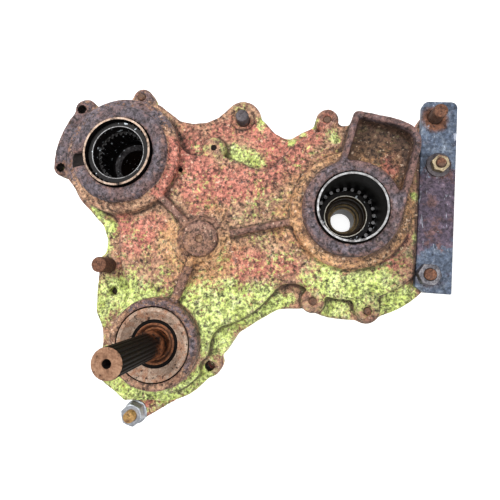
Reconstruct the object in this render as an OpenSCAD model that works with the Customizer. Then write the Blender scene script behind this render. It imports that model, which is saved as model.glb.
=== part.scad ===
// Offset three-shaft gear case: an input hub, an idler, a hollow through hub and a splined
// output shaft between a cast front cover and a cast rear housing.
// The origin is on the idler axis, in the plane of the rear bearing bosses. +Z points out of the cover.

/* [Gear train] */
// Module of all gears
gear_module = 5; // [4:0.5:5]
// Teeth on the idler gear
idler_teeth = 43; // [41:1:43]
// Teeth on the input gear
input_teeth = 26; // [24:1:26]
// Teeth on the through gear
through_teeth = 41; // [39:1:41]
// Teeth on the output gear
output_teeth = 20; // [19:1:20]
// Width of the gears along the shafts
gear_w = 27; // [20:1:28]
// Gap between tooth flanks on the pitch circles
backlash = 0.5; // [0.3:0.05:0.8]
// Direction of the input shaft from the idler, in degrees
input_dir = 133.9; // [132:0.1:136]
// Direction of the through shaft from the idler, in degrees
through_dir = 10.5; // [9:0.1:12]
// Direction of the output shaft from the idler, in degrees
output_dir = -113; // [-115:0.5:-111]

/* [Casing] */
// Top face of the rear housing, where the casing splits
split_z = 88; // [84:1:92]
// Thickness of the gasket
gasket_t = 1; // [0.5:0.5:2]
// Thickness of the cover's flange
flange_t = 15; // [12:1:18]
// Height of the raised front wall over the flange
dome_h = 17; // [15:1:20]
// Thickness of the cast walls
wall = 8; // [6:1:9]
// Room between gear teeth and the inside of the walls
gear_room = 4.5; // [4:0.5:6]
// Face of the input boss
input_face_z = 145; // [143:1:147]
// Face of the through boss
through_face_z = 148; // [146:1:150]
// Face of the output boss
output_face_z = 145; // [143:1:147]

/* [Shafts] */
// Overall height, to the tip of the output shaft
shaft_tip_z = 273; // [240:1:290]
// Outside radius of the output splines
spline_r = 17.45; // [17:0.05:18]
// Number of output splines
spline_teeth = 21; // [21:1:21]
// Number of splines inside the input hub
hub_spline_teeth = 31; // [28:1:34]
// Radius of the bore through the through hub
through_bore_r = 18; // [17:0.5:19]
// Radial clearance of rollers, seals and other running fits
run_gap = 0.05; // [0.03:0.01:0.08]

/* [Mounting] */
// Radius of the open lug holes
lug_hole_r = 5.95; // [5.8:0.05:6.1]
// Width of the flat steel strap
strap_w = 47; // [44:1:50]
// Thickness of the strap
strap_t = 11; // [8:1:12]

/* [Hidden] */
$fn = 96;

function polar(r, a) = [r * cos(a), r * sin(a)];
function arc(c, r, a0, a1, n) = [for (i = [0 : n]) c + polar(r, a0 + (a1 - a0) * i / n)];
function pitch_r(teeth) = gear_module * teeth / 2;

// shaft axes
idler_pos = [0, 0];
input_pos = polar(pitch_r(idler_teeth + input_teeth), input_dir);
through_pos = polar(pitch_r(idler_teeth + through_teeth), through_dir);
output_pos = polar(pitch_r(idler_teeth + output_teeth), output_dir);

// levels along Z
back_z = 10;
floor_z = back_z + wall;
gear_z = 29;
rim_z = split_z - 16;
flange_z = split_z + gasket_t;
deck_z = flange_z + flange_t;
dome_z = deck_z + dome_h;
roof_z = dome_z - wall - 1;
boss_step_z = dome_z + 12;
left_seat_z = deck_z + 5;
cut = 1;

// lugs around the casing and the holes and bolts in them
bolt_r = 5.55;
bolt_gap = 0.4;
lug_a = [-194.5, 210.5];
lug_b = [-101.5, 222.8];
lug_c = [-229.5, 118.5];
lobe_e = [54.5, 183];
lobe_stud = [55.5, 183.3];
lug_d = [178.2, 169.7];
lug_i = [15.1, 133.9];
lug_f = [155.4, -85.8];
lug_g = [228.7, -98.2];
lug_h = [8.5, -178];
left_boss = [-144.1, -35.9];
bottom_lug = [-103, -251];
bottom_stud_r = 8;
hole_a = [-199.5, 209.5];
hole_c = [-231.9, 117.7];
hole_h = [10.3, -178.8];
open_holes = [hole_a, hole_c, hole_h];
// bolts through the flange: place, shank radius, height of the tip
bolts = [[[-102.5, 225.3], bolt_r, deck_z + 3], [lobe_stud, 9.5, deck_z + 13], [lug_d, bolt_r, dome_z + 2],
  [lug_f, bolt_r, dome_z + 2], [lug_g, bolt_r, dome_z - 3]];
dowel_spots = [[-214, 165], [292, -58]];
dowel_r = 5;

// strap and its fasteners
strap_foot = [315, -74];
strap_head = [334, 192];
strap_spots = [[326.4, 169.8], [327.6, 101.1], [307.5, -49]];
stud_radii = [9.5, 6.3, 7.9];
strap_run = strap_head - strap_foot;
strap_turn = atan2(strap_run.y, strap_run.x);
stud_step = 0.6;
left_stud_r = 11.1;

// through boss: a long tube with the front bearing at its inner end
tube_z = 60;
through_tube_r = 54;
through_seat_r = 46.3;
sleeve_top_z = through_face_z + 4;
bearing_top_z = 84;

// input boss
needle_ring_r = 49.4;
needle_track_r = 46.6;
hub_journal_r = 44.1;
needle_z = 112;
hub_top_z = input_face_z - 1;

// output boss
retainer_r = 50;
seal_r = 33.4;
collar_r = 28.5;
output_seat_r = 40;
output_bearing_z = 104;
seal_face_z = 136;

idler_pin_r = 16;
idler_hub_r = 30;

module at(p, z = 0) { translate([p.x, p.y, z]) children(); }
module drill(p, r, z0, z1) { at(p, z0) cylinder(h = z1 - z0, r = r); }
module tube(p, z0, z1, r_out, r_in) {
  difference() {
    drill(p, r_out, z0, z1);
    drill(p, r_in, z0 - cut, z1 + cut);
  }
}

// ---- outlines of the casing ----

// space that the four gears turn in
module gear_space(extra = 0) {
  tip = gear_module + gear_room + extra;
  translate(idler_pos) circle(r = pitch_r(idler_teeth) + tip);
  translate(input_pos) circle(r = pitch_r(input_teeth) + tip);
  translate(through_pos) circle(r = pitch_r(through_teeth) + tip);
  translate(output_pos) circle(r = pitch_r(output_teeth) + tip);
}

module flange_outline() {
  $fn = 40;
  web = [[-218, 97], [-178, 46], [-158, 24], [-150, 2], [-152, -12], [-163, -52], [-165, -104],
    [-154, -127], [-152, -150], [-158, -199], [-149, -208], [-134, -218], [-116, -232],
    [-61, -229], [0, -190],
    [34, -158], [50, -133], [80, -114], [108, -98], [140, -97], [208, 28], [205, 160], [165, 169],
    [141, 159], [127, 151], [117, 152], [102, 162], [88, 179], [56, 205], [34, 201], [18, 189],
    [1, 182], [-20, 180.5], [-42, 186], [-72, 211], [-101, 226], [-150, 200]];
  left_fan = [input_pos, [-260, 114], [-260, 230], [-206, 215]];
  offset(r = -9) offset(r = 9) {
    polygon(web);
    translate(input_pos) circle(r = 97, $fn = 80);
    intersection() {
      translate(input_pos) circle(r = 124, $fn = 80);
      polygon(left_fan);
    }
    translate([208, 28]) circle(r = 140, $fn = 90);
    translate(output_pos) circle(r = 86, $fn = 80);
    translate(lug_a) circle(r = 17);
    translate(lug_b) circle(r = 16.5);
    translate(lug_c) circle(r = 14);
    translate(lobe_e) circle(r = 28.5);
    translate(lug_d) circle(r = 17);
    translate(lug_g) circle(r = 19);
    translate(lug_h) circle(r = 17.5);
    translate(left_boss) circle(r = 20);
    hull() {
      translate([327, 166]) circle(r = 18);
      translate([312, 100]) circle(r = 32);
    }
  }
}

module dome_outline() {
  $fn = 60;
  offset(r = -32) offset(r = 32) {
    circle(r = pitch_r(idler_teeth) + 17.5);
    translate(input_pos) circle(r = 84);
    translate(through_pos) circle(r = pitch_r(through_teeth) + 19.5);
    translate(output_pos) circle(r = 73);
  }
  translate(lug_i) circle(r = 17.5);
  translate(lug_d) circle(r = 16);
  translate(lug_f) circle(r = 16.5);
  hull() {
    translate(lug_g) circle(r = 15.5);
    translate([224, -70]) circle(r = 18);
  }
}

// flat ground of the flange that the strap lies on, and everything beyond it
module strap_ground(extra) {
  at(strap_foot) rotate(strap_turn) translate([-40, -60]) square([360, 60 + strap_w / 2 + extra]);
}

module pocket_outline(inset = 0) {
  offset(delta = -inset) polygon([[190, 98], [196.5, 116], [205.5, 147], [210.5, 166], [214, 170.5],
    [222, 169.7], [240, 164.7], [257.5, 160.2], [270, 156], [280.5, 151], [288, 146], [294, 139.5],
    [297.3, 131], [297.5, 122], [295.5, 112], [287, 82.5], [276, 46], [266, 12], [207, 38]]);
}

// ---- castings ----

// boss face with a rounded shoulder, on a lower rounded step
module stepped_boss(p, step_r, step_z, face_r, face_z, round_r) {
  at(p) rotate_extrude() polygon(concat(
    [[0, dome_z - 10], [step_r, dome_z - 10]],
    arc([step_r - round_r, step_z - round_r], round_r, 0, 90, 5),
    [[face_r + 3, step_z], [face_r, step_z + 3]],
    arc([face_r - round_r, face_z - round_r], round_r, 0, 90, 5),
    [[0, face_z]]));
}

module rib(from, to, w, z0, z1) {
  run = to - from;
  at(from, z0) rotate(atan2(run.y, run.x))
    translate([0, -w / 2, 0]) cube([norm(run), w, z1 - z0]);
}

module bolt_holes(z0, z1) {
  for (b = bolts) drill(b[0], b[1] + bolt_gap, z0, z1);
  for (p = open_holes) drill(p, lug_hole_r, z0, z1);
}

module front_cover_shell() {
  difference() {
    union() {
      translate([0, 0, flange_z]) linear_extrude(flange_t) flange_outline();
      translate([0, 0, deck_z - cut]) linear_extrude(dome_h + cut) difference() {
        dome_outline();
        strap_ground(1.5);
      }
      stepped_boss(input_pos, 86, boss_step_z + 1, 71, input_face_z, 6);
      stepped_boss(through_pos, 81, boss_step_z, 65, through_face_z, 5);
      stepped_boss(output_pos, 69, dome_z + 3, 62.5, output_face_z, 2.5);
      difference() {
        translate([0, 0, deck_z - cut]) linear_extrude(through_face_z - deck_z + 0.6)
          pocket_outline();
        translate([0, 0, dome_z]) linear_extrude(60) pocket_outline(8.7);
      }
    }
    translate([0, 0, dome_z]) linear_extrude(boss_step_z + 2 - dome_z) difference() {
      pocket_outline(8.7);
      translate(through_pos) circle(r = 66);
    }
    translate([0, 0, flange_z - cut]) linear_extrude(flange_t / 2 + cut) gear_space();
    translate([0, 0, flange_z + cut]) linear_extrude(roof_z - flange_z - cut) difference() {
      gear_space();
      strap_ground(1.5 + wall);
    }
  }
  // inner tubes that hold the bearings
  drill(through_pos, through_tube_r, tube_z, dome_z);
  drill(input_pos, 57, output_bearing_z, dome_z);
  drill(output_pos, 50, output_bearing_z - 4, dome_z);
  drill(idler_pos, 26, 65, dome_z);
  // idler boss on its low round pad, with three ribs that tie the bosses together
  drill(idler_pos, 43, dome_z - cut, dome_z + 3);
  rotate_extrude() polygon([[0, dome_z], [35, dome_z], [32, dome_z + 9], [26, dome_z + 13],
    [24.5, dome_z + 19], [0, dome_z + 19]]);
  rib(idler_pos, input_pos * 0.6, 10, dome_z - cut, dome_z + 11);
  rib(idler_pos, through_pos * 0.68, 8.5, dome_z - cut, dome_z + 8.4);
  rib(idler_pos, output_pos * 0.65, 12, dome_z - cut, dome_z + 11);
  rib([39, -9], [51, -34], 7, dome_z - cut, dome_z + 4);
  for (p = [lug_d, lug_f, lug_i]) drill(p, 13.5, dome_z - cut, dome_z + 3);
  for (p = [hole_a, hole_h, bolts[0][0]]) drill(p, 11.5, deck_z - cut, deck_z + 2);
  drill(left_boss, 18, deck_z - cut, left_seat_z);
}

module front_cover() {
  color("yellowgreen") difference() {
    front_cover_shell();
    bolt_holes(flange_z - cut, dome_z + 10);
    for (p = dowel_spots) drill(p, dowel_r, flange_z - cut, deck_z - 4);
    // through tube: bearing seat with a chamfered mouth
    drill(through_pos, 43, tube_z - cut, tube_z + 3);
    drill(through_pos, through_seat_r, tube_z + 2, through_face_z + 10);
    drill(through_pos, 48.8, through_face_z - 3, through_face_z + 10);
    // input bore
    drill(input_pos, 45.5, output_bearing_z - cut, needle_z + cut);
    drill(input_pos, needle_ring_r, needle_z, input_face_z + cut);
    drill(input_pos, 51.5, input_face_z - 4, input_face_z + cut);
    at(input_pos) rotate(188) translate([46, -10, input_face_z - 7]) cube([36, 20, 10]);
    // output bore, with a wide seat for the seal retainer
    drill(output_pos, 34, output_bearing_z - 5, output_bearing_z + cut);
    drill(output_pos, output_seat_r, output_bearing_z, 127);
    drill(output_pos, retainer_r, 126, output_face_z + cut);
    drill(output_pos, retainer_r + 1.8, output_face_z - 4, output_face_z + cut);
    drill(idler_pos, idler_pin_r, 64, dome_z + 15);
    drill(idler_pos, 5.5, dome_z + 14, dome_z + 20);
    // spot face round the bolt in the top lobe, and small blind holes
    drill(lobe_stud, 17.5, deck_z - 3, deck_z + cut);
    drill([-34.9, 103], 3.5, dome_z - 7, dome_z + cut);
    drill(lug_i, 5, dome_z + 0.6, dome_z + 4);
    drill(hole_h, 13, deck_z + 2, dome_z + cut);
    at([-138.7, -74], deck_z - 9) rotate(45) cube([11, 11, 22], center = true);
    drill(left_boss, left_stud_r - stud_step, deck_z - 12, left_seat_z + cut);
    for (i = [0 : 2]) drill(strap_spots[i], stud_radii[i] - stud_step, deck_z - 12, deck_z + cut);
  }
}

module rear_boss(p, r) { drill(p, r, 0, back_z + 2); }

module rear_housing() {
  color("olivedrab") difference() {
    union() {
      translate([0, 0, rim_z]) linear_extrude(split_z - rim_z) {
        flange_outline();
        hull() {
          translate(bottom_lug) circle(r = 15, $fn = 40);
          translate([-45, -205]) circle(r = 25, $fn = 40);
        }
      }
      translate([0, 0, back_z]) linear_extrude(rim_z - back_z + cut) gear_space(wall);
      rear_boss(input_pos, 60);
      rear_boss(through_pos, 56);
      rear_boss(output_pos, 46);
      drill(idler_pos, 28, 0, back_z + 2);
      rib(idler_pos, input_pos, 12, 3, back_z + 2);
      rib(idler_pos, through_pos, 12, 3, back_z + 2);
      rib(idler_pos, output_pos, 12, 3, back_z + 2);
      drill(hole_h, 15, rim_z - 12, rim_z + cut);
    }
    difference() {
      translate([0, 0, floor_z]) linear_extrude(split_z) gear_space();
      drill(input_pos, 58, 0, 26);
      drill(through_pos, 54, 0, 26);
      drill(output_pos, 44, 0, 25.5);
      drill(idler_pos, 26, 0, 24);
    }
    bolt_holes(rim_z - 13, split_z + cut);
    for (p = dowel_spots) drill(p, dowel_r, split_z - 10, split_z + cut);
    drill(bottom_lug, bottom_stud_r, rim_z + 4, split_z + cut);
    // input bearing seat, open to the rear for the cap
    drill(input_pos, 50, back_z, 27);
    drill(input_pos, 44, -cut, back_z + cut);
    drill(input_pos, 54, -cut, 6);
    for (a = [45 : 90 : 315]) drill(input_pos + polar(49, a), 3, 5, 9.5);
    // through bearing seat and seal seat
    drill(through_pos, 45, -cut, 27);
    drill(output_pos, 36, 8, 27);
    drill(output_pos, 18.5, 5, 9);
    drill(idler_pos, idler_pin_r, 7, 25);
    at_drain() plug_hole();
    at_filler() plug_hole();
  }
}

// threaded holes for the plugs: low on the wall round the idler gear, and high on the rear wall
idler_wall_r = pitch_r(idler_teeth) + gear_module + gear_room + wall;
module at_drain() { rotate(-60) translate([idler_wall_r, 0, 46]) rotate([0, -90, 0]) children(); }
module at_filler() { translate([-30, 75, back_z]) children(); }
module plug_hole() { translate([0, 0, -cut]) cylinder(h = wall + 2 * cut, r = 8); }

module case_gasket() {
  color("dimgray") translate([0, 0, split_z]) linear_extrude(gasket_t) difference() {
    flange_outline();
    gear_space();
    for (b = bolts) translate(b[0]) circle(r = b[1] + 2 * bolt_gap);
    for (p = open_holes) translate(p) circle(r = lug_hole_r + bolt_gap);
    for (p = dowel_spots) translate(p) circle(r = dowel_r + 0.2);
  }
}

// ---- fasteners ----

module hex(af, h) { cylinder(h = h, d = af / cos(30), $fn = 6); }

module cover_bolts() {
  color("saddlebrown") for (b = bolts) {
    at(b[0], rim_z - 9) rotate(20) hex(3 * b[1], 9);
    drill(b[0], b[1], rim_z - 9 + cut, b[2]);
  }
}

module dowel_pins() {
  color("silver") for (p = dowel_spots) drill(p, dowel_r, split_z - 9, deck_z - 5);
}

// flat bar with round upper corners and a cut lower one
module strap_outline() {
  $fn = 36;
  end = norm(strap_run);
  side = strap_w / 2;
  hull() {
    translate([2, 2 - side]) circle(r = 2);
    translate([2, side - 13]) circle(r = 2);
    translate([9, side - 2]) circle(r = 2);
    for (y = [9 - side, side - 9]) translate([end - 9, y]) circle(r = 9);
  }
}

module side_strap() {
  color("lightslategray") difference() {
    at(strap_foot, deck_z) rotate(strap_turn) linear_extrude(strap_t) strap_outline();
    for (i = [0 : 2]) drill(strap_spots[i], stud_radii[i] + 0.4, deck_z - cut, strap_top_z + cut);
  }
}

strap_top_z = deck_z + strap_t;
stud_tips = [strap_top_z + 22, strap_top_z + 15, strap_top_z + 16];
module strap_studs() {
  color("saddlebrown") for (i = [0 : 2]) {
    drill(strap_spots[i], stud_radii[i] - stud_step, deck_z - 12, strap_top_z + cut);
    drill(strap_spots[i], stud_radii[i], strap_top_z, stud_tips[i]);
  }
}

// nuts on the strap: which stud, width across flats, seat above the strap, height
nuts = [[1, 21, 3, 8.5], [2, 27, 0, 13.5]];
module strap_nuts() {
  color("goldenrod") for (n = nuts) difference() {
    at(strap_spots[n[0]], strap_top_z + n[2]) rotate(12 * n[0]) hex(n[1], n[3]);
    drill(strap_spots[n[0]], stud_radii[n[0]], strap_top_z - cut, strap_top_z + 30);
  }
}

module strap_washers() {
  color("gray") tube(strap_spots[1], strap_top_z, strap_top_z + nuts[0][2], 16.5, stud_radii[1]);
}

module left_stud() {
  color("saddlebrown") {
    drill(left_boss, left_stud_r - stud_step, deck_z - 12, left_seat_z + cut);
    drill(left_boss, left_stud_r, left_seat_z, left_seat_z + 31);
  }
}

module bottom_stud() {
  color("tan") drill(bottom_lug, bottom_stud_r, rim_z + 4, split_z + 30);
}
module bottom_washer() {
  color("silver") tube(bottom_lug, split_z, split_z + 3.2, 17, bottom_stud_r + 0.3);
}
module bottom_nut() {
  color("silver") difference() {
    at(bottom_lug, split_z + 3.2) rotate(10) hex(28.6, 16.4);
    drill(bottom_lug, bottom_stud_r, split_z, split_z + 40);
  }
}

module plug_body() {
  translate([0, 0, -cut]) cylinder(h = wall + cut, r = 8);
  translate([0, 0, -6.1]) hex(19, 6);
}
module drain_plug() { color("dimgray") at_drain() plug_body(); }
module filler_plug() { color("dimgray") at_filler() plug_body(); }

// ---- bearings: rings that stay with the casing and rings and rollers that turn ----

module roller_ring(p, z0, z1, r_in, r_out, count) {
  size = (r_out - r_in) / 2 - run_gap;
  for (i = [0 : count - 1])
    drill(p + polar((r_in + r_out) / 2, i * 360 / count), size, z0, z1);
}

module input_needle_ring() {
  color("silver") tube(input_pos, needle_z, input_face_z + 5, needle_ring_r, needle_track_r);
}
module input_needles() {
  color("gainsboro")
    roller_ring(input_pos, needle_z + 4, input_face_z - 3, hub_journal_r, needle_track_r, 40);
}
module input_rear_outer_race() { color("silver") tube(input_pos, back_z, 26, 50, 45); }
module input_rear_inner_race() { color("silver") tube(input_pos, back_z + 1, 26, 38, 33); }
module input_rear_rollers() {
  color("gainsboro") roller_ring(input_pos, back_z + 3, 24, 38, 45, 16);
}
module input_rear_cap() {
  color("slategray") difference() {
    drill(input_pos, 53.8, 1, 6);
    for (a = [45 : 90 : 315]) drill(input_pos + polar(49, a), 3.3, 0, 7);
  }
}
module input_cap_screws() {
  color("gray") for (a = [45 : 90 : 315]) {
    drill(input_pos + polar(49, a), 3, 0.9, 9.4);
    at(input_pos + polar(49, a), 0.2) hex(8, 0.8);
  }
}

module through_sleeve() {
  color("silver") tube(through_pos, bearing_top_z, sleeve_top_z, through_seat_r, 43.7);
}
module through_front_outer_race() {
  color("silver") tube(through_pos, 63, bearing_top_z, through_seat_r, 43.2);
}
module through_front_inner_race() { color("silver") tube(through_pos, 62, 80, 38, 31); }
module through_front_rollers() {
  color("gainsboro") roller_ring(through_pos, 64, 82, 38, 43.2, 24);
}
module through_rear_outer_race() { color("silver") tube(through_pos, 10, 26, 45, 39.5); }
module through_rear_inner_race() { color("silver") tube(through_pos, 10, 27, 33, 27); }
module through_rear_rollers() {
  color("gainsboro") roller_ring(through_pos, 11, 25, 33, 39.5, 18);
}
module through_rear_seal() {
  color("black") tube(through_pos, 2, 9, 45, 27 + run_gap);
}

module output_front_outer_race() {
  color("silver") tube(output_pos, output_bearing_z, 124, output_seat_r, 33);
}
module output_front_inner_race() { color("silver") tube(output_pos, output_bearing_z, 124, 26, 20); }
module output_front_rollers() {
  color("gainsboro") roller_ring(output_pos, output_bearing_z + 2, 122, 26, 33, 14);
}
module output_rear_outer_race() { color("silver") tube(output_pos, 8, 25, 36, 30.5); }
module output_rear_inner_race() { color("silver") tube(output_pos, 8.4, 25.5, 24, 17.5); }
module output_rear_rollers() {
  color("gainsboro") roller_ring(output_pos, 10, 23, 24, 30.5, 12);
}
module output_seal_retainer() {
  color("rosybrown") at(output_pos) rotate_extrude() polygon([[seal_r, 127], [retainer_r, 127],
    [retainer_r, output_face_z], [retainer_r - 1.2, output_face_z + 1],
    [retainer_r - 5, output_face_z + 1], [seal_r + 2, seal_face_z + 1], [seal_r, seal_face_z]]);
}
module output_oil_seal() {
  color("black") tube(output_pos, 127.5, seal_face_z - 1, seal_r, collar_r + run_gap);
}
module output_collar() {
  color("chocolate") at(output_pos) rotate_extrude() polygon([[20, 124.5], [collar_r, 124.5],
    [collar_r, seal_face_z], [collar_r - 1.5, seal_face_z + 1], [collar_r - 3, seal_face_z],
    [22.5, seal_face_z - 5], [20, seal_face_z - 5]]);
}

// ---- gears ----

// half the angle of a tooth at radius r, for a 20 degree involute
pressure_angle = 20;
function involute(a) = tan(a) - a * PI / 180;
function half_tooth(teeth, r) =
  let (base = pitch_r(teeth) * cos(pressure_angle))
  (PI / 2 / teeth - backlash / 4 / pitch_r(teeth) + involute(pressure_angle)
    - (r > base ? involute(acos(base / r)) : 0)) * 180 / PI;

module gear_outline(teeth, first_tooth) {
  rp = pitch_r(teeth);
  radii = [rp - 1.25 * gear_module, rp * cos(pressure_angle) + 0.4, rp, rp + 0.55 * gear_module,
    rp + gear_module];
  steps = [for (r = radii) if (r >= radii[0]) r];
  last = len(steps) - 1;
  polygon([for (t = [0 : teeth - 1]) let (mid = first_tooth + t * 360 / teeth)
    each concat([for (i = [0 : last]) polar(steps[i], mid - half_tooth(teeth, steps[i]))],
      [for (i = [last : -1 : 0]) polar(steps[i], mid + half_tooth(teeth, steps[i]))])]);
}

// angle of one tooth of a gear that meshes with the idler in direction dir
function meshed_tooth(dir, teeth) =
  let (pitch = 360 / idler_teeth, lag = dir - pitch * round(dir / pitch))
  dir + 180 + lag * idler_teeth / teeth + 180 / teeth;

module gear_disc(p, teeth, first_tooth, seat_r) {
  difference() {
    at(p, gear_z) linear_extrude(gear_w) gear_outline(teeth, first_tooth);
    drill(p, seat_r, gear_z - cut, gear_z + gear_w + cut);
  }
}

module input_gear() {
  color("darkgray") gear_disc(input_pos, input_teeth, meshed_tooth(input_dir, input_teeth), 50);
}
module through_gear() {
  color("darkgray")
    gear_disc(through_pos, through_teeth, meshed_tooth(through_dir, through_teeth), 38);
}
module output_gear() {
  color("darkgray")
    gear_disc(output_pos, output_teeth, meshed_tooth(output_dir, output_teeth), 22);
}

module idler_gear() {
  color("darkgray") difference() {
    union() {
      difference() {
        at(idler_pos, gear_z) linear_extrude(gear_w) gear_outline(idler_teeth, 0);
        for (z = [gear_z - cut, gear_z + gear_w - 7]) tube(idler_pos, z, z + 8, 92, idler_hub_r + 6);
      }
      drill(idler_pos, idler_hub_r, 27, 62);
    }
    drill(idler_pos, 22, 20, 70);
  }
}
module idler_rollers() {
  color("gainsboro") roller_ring(idler_pos, 29, 60, idler_pin_r, 22, 16);
}
module idler_pin() { color("silver") drill(idler_pos, idler_pin_r, 7, dome_z + 15); }
module idler_thrust_washers() {
  color("goldenrod") {
    tube(idler_pos, 24, 26.6, 25, idler_pin_r);
    tube(idler_pos, 62.4, 65, 25, idler_pin_r);
  }
}

// ---- hubs and the output shaft ----

module spline_teeth_2d(count, low_r, high_r) {
  pitch = 360 / count;
  polygon([for (t = [0 : count - 1]) each [polar(low_r, (t - 0.36) * pitch),
    polar(high_r, (t - 0.14) * pitch), polar(high_r, (t + 0.14) * pitch),
    polar(low_r, (t + 0.36) * pitch)]]);
}

module input_hub() {
  color("dimgray") difference() {
    union() {
      drill(input_pos, hub_journal_r, gear_z, hub_top_z);
      drill(input_pos, 50, gear_z, gear_z + gear_w);
      drill(input_pos, 33, back_z, gear_z + cut);
    }
    drill(input_pos, 37.8, 127, hub_top_z + cut);
    at(input_pos, 99) linear_extrude(29) spline_teeth_2d(hub_spline_teeth, 33.7, 36.9);
    drill(input_pos, 38, 79, 99.5);
    at(input_pos, 73) cylinder(h = 6.01, r1 = 27, r2 = 33);
    drill(input_pos, 27, back_z - cut, 79);
  }
}

module through_hub() {
  color("dimgray") difference() {
    union() {
      drill(through_pos, 31, gear_z, 80.5);
      drill(through_pos, 38, gear_z, 61);
      drill(through_pos, 27, 1.5, gear_z + cut);
    }
    at(through_pos, 78) cylinder(h = 3, r1 = 27.2, r2 = 30.2);
    drill(through_pos, 27.2, 64, 81);
    drill(through_pos, 24, 52, 66);
    drill(through_pos, 21, 42, 53);
    drill(through_pos, through_bore_r, 0, 44);
  }
}

module output_shaft() {
  color("saddlebrown") difference() {
    union() {
      drill(output_pos, 17.5, 6, gear_z);
      drill(output_pos, 22, gear_z - 2, gear_z + gear_w + 2);
      drill(output_pos, 21, gear_z + gear_w, output_bearing_z - 1);
      drill(output_pos, 20, output_bearing_z - 2, 158);
      drill(output_pos, spline_r - 1.6, 150, shaft_tip_z);
      at(output_pos, 154) linear_extrude(shaft_tip_z - 156)
        spline_teeth_2d(spline_teeth, spline_r - 1.7, spline_r);
    }
    drill(output_pos, 4.6, shaft_tip_z - 12, shaft_tip_z + cut);
  }
}

front_cover();
rear_housing();
case_gasket();
cover_bolts();
dowel_pins();
input_needle_ring();
input_rear_outer_race();
input_rear_cap();
input_cap_screws();
through_sleeve();
through_front_outer_race();
through_rear_outer_race();
through_rear_seal();
output_seal_retainer();
output_oil_seal();
output_front_outer_race();
output_rear_outer_race();
idler_pin();
idler_thrust_washers();
side_strap();
strap_studs();
strap_nuts();
strap_washers();
left_stud();
bottom_stud();
bottom_nut();
bottom_washer();
drain_plug();
filler_plug();
input_hub();
input_gear();
input_needles();
input_rear_inner_race();
input_rear_rollers();
idler_gear();
idler_rollers();
through_hub();
through_gear();
through_front_inner_race();
through_front_rollers();
through_rear_inner_race();
through_rear_rollers();
output_shaft();
output_gear();
output_collar();
output_front_inner_race();
output_front_rollers();
output_rear_inner_race();
output_rear_rollers();
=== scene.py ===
import math

import bmesh
import bpy
import numpy as np
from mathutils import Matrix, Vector, geometry, noise


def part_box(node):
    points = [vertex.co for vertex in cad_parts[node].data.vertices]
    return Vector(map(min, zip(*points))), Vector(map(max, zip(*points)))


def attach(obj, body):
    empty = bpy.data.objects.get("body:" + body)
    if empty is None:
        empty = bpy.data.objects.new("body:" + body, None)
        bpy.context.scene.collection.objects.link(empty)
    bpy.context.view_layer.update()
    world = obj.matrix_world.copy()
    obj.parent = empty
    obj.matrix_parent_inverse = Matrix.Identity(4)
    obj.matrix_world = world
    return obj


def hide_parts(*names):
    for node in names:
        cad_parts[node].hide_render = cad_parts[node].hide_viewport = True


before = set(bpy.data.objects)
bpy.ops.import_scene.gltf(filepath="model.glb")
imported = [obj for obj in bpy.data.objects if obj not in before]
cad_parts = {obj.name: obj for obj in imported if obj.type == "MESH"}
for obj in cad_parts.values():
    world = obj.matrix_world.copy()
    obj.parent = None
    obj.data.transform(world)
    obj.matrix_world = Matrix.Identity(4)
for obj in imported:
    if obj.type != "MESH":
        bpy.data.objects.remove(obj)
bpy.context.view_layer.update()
MM = 0.001


# ---- places on the gear case, in millimetres, worked out from the frame ----

def middle(node):
    """Centre of a CAD node's box, in millimetres."""
    low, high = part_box(node)
    return (low + high) / 2 / MM


def top(node):
    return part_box(node)[1].z / MM


def bottom(node):
    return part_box(node)[0].z / MM


IDLER = middle("idler_pin")
INPUT = middle("input_needle_ring")
THROUGH = middle("through_sleeve")
OUTPUT = middle("output_seal_retainer")
LEFT_STUD = middle("left_stud")
BOTTOM_STUD = middle("bottom_stud")
DECK = bottom("side_strap")
DOME = DECK + 17
# place, radius and height of the tip
BOLTS = [((-102.5, 225.3), 5.55, DECK + 3), ((178.2, 169.7), 5.55, DOME + 2), ((155.4, -85.8), 5.55, DOME + 2),
         ((228.7, -98.2), 5.55, DOME - 3), ((55.5, 183.3), 9.5, DECK + 13)]
LOBE = BOLTS[4][0]
# open and blind holes in the cover: place, radius and height of the mouth
HOLES = [((-199.5, 209.5), 5.95, DECK + 2), ((-231.9, 117.7), 5.95, DECK), ((10.3, -178.8), 5.95, DECK + 2),
         ((15.1, 133.9), 5.0, DOME + 3), ((-34.9, 103.0), 3.5, DOME)]
NOTCH_TURN = math.radians(188)
STRAP_ENDS = Vector((315.0, -74.0)), Vector((334.0, 192.0))
STRAP_STUDS = [((326.4, 169.8), 9.5, 22), ((327.6, 101.1), 6.3, 15), ((307.5, -49.0), 7.9, 16)]


# ---- materials ----

def rgb(r, g, b):
    """Linear colour from red, green and blue of 0 to 255."""
    return tuple(((c / 255 + 0.055) / 1.055) ** 2.4 if c > 10 else c / 3294.6 for c in (r, g, b)) + (1.0,)


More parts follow.
